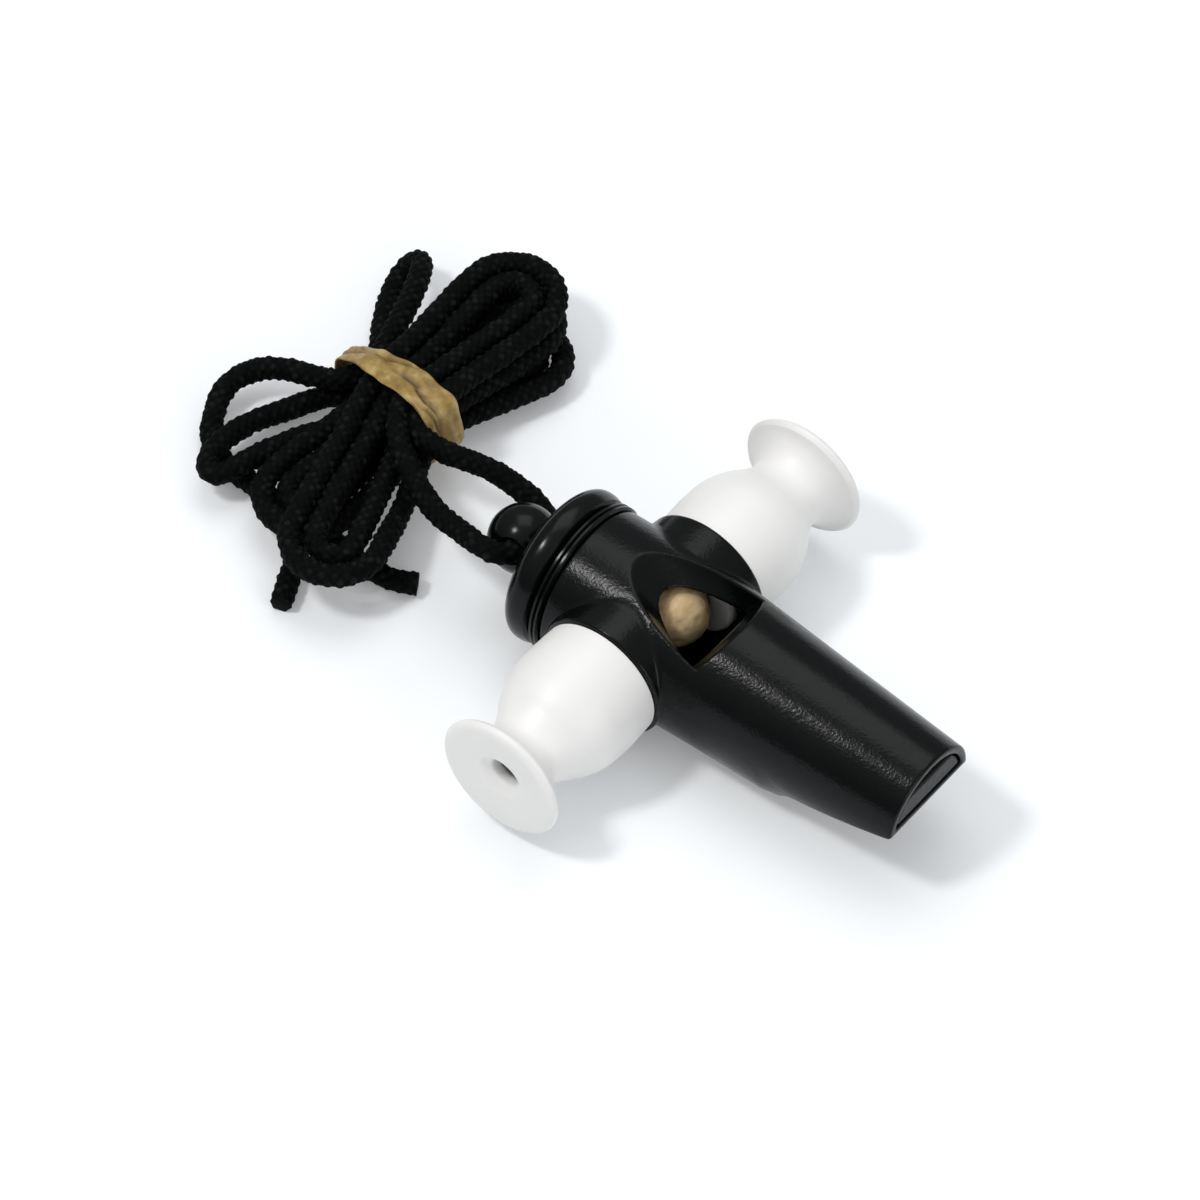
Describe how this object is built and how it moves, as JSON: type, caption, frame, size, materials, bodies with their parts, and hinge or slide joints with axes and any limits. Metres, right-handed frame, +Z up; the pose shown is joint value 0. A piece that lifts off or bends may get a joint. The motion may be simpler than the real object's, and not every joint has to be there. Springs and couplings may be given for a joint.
{
  "type": "samba whistle",
  "caption": "Three-tone samba whistle with white side tone tubes, a cork pea, a ball-ended plug and a banded hank of black neck cord.",
  "frame": {"origin": "bottom centre of the whistle's box without its cord: under the middle of the length, on the surface that it lies on", "axes": "+X from the ball knob to the mouth, +Y along the tone tubes to the far one, +Z up to the window"},
  "size_m": [0.1221, 0.0738, 0.0234],
  "materials": {
    "black_satin_plastic": "satin black moulding with a fine grain",
    "grey_plastic": "matte dark grey",
    "cork": "natural cork",
    "white_plastic": "satin gloss off-white",
    "black_gloss_plastic": "gloss black",
    "black_cord": "round braided cord",
    "natural_rubber": "tan natural rubber"
  },
  "bodies": {
    "whistle": {"body": "black_satin_plastic", "fipple_block": "grey_plastic", "end_cap": "black_gloss_plastic", "cord_lead_far": "black_cord", "cord_lead_near": "black_cord", "cord_hank_outer": "black_cord", "cord_hank_inner": "black_cord", "cord_bight": "black_cord", "cord_ear": "black_cord", "cord_arch": "black_cord", "cord_tail": "black_cord", "rubber_band": "natural_rubber"},
    "pea": {"pea": "cork"},
    "near_tube": {"tone_tube_near": "white_plastic"},
    "far_tube": {"tone_tube_far": "white_plastic"}
  },
  "joints": [
    {"name": "pea_roll", "type": "slide", "parent": "whistle", "child": "pea", "axis": [1, 0, 0], "range_m": [-0.0045, 0.0046]},
    {"name": "near_tube_pull", "type": "slide", "parent": "whistle", "child": "near_tube", "axis": [0, -1, 0], "range_m": [0, 0.0025]},
    {"name": "far_tube_pull", "type": "slide", "parent": "whistle", "child": "far_tube", "axis": [0, 1, 0], "range_m": [0, 0.0025]}
  ]
}
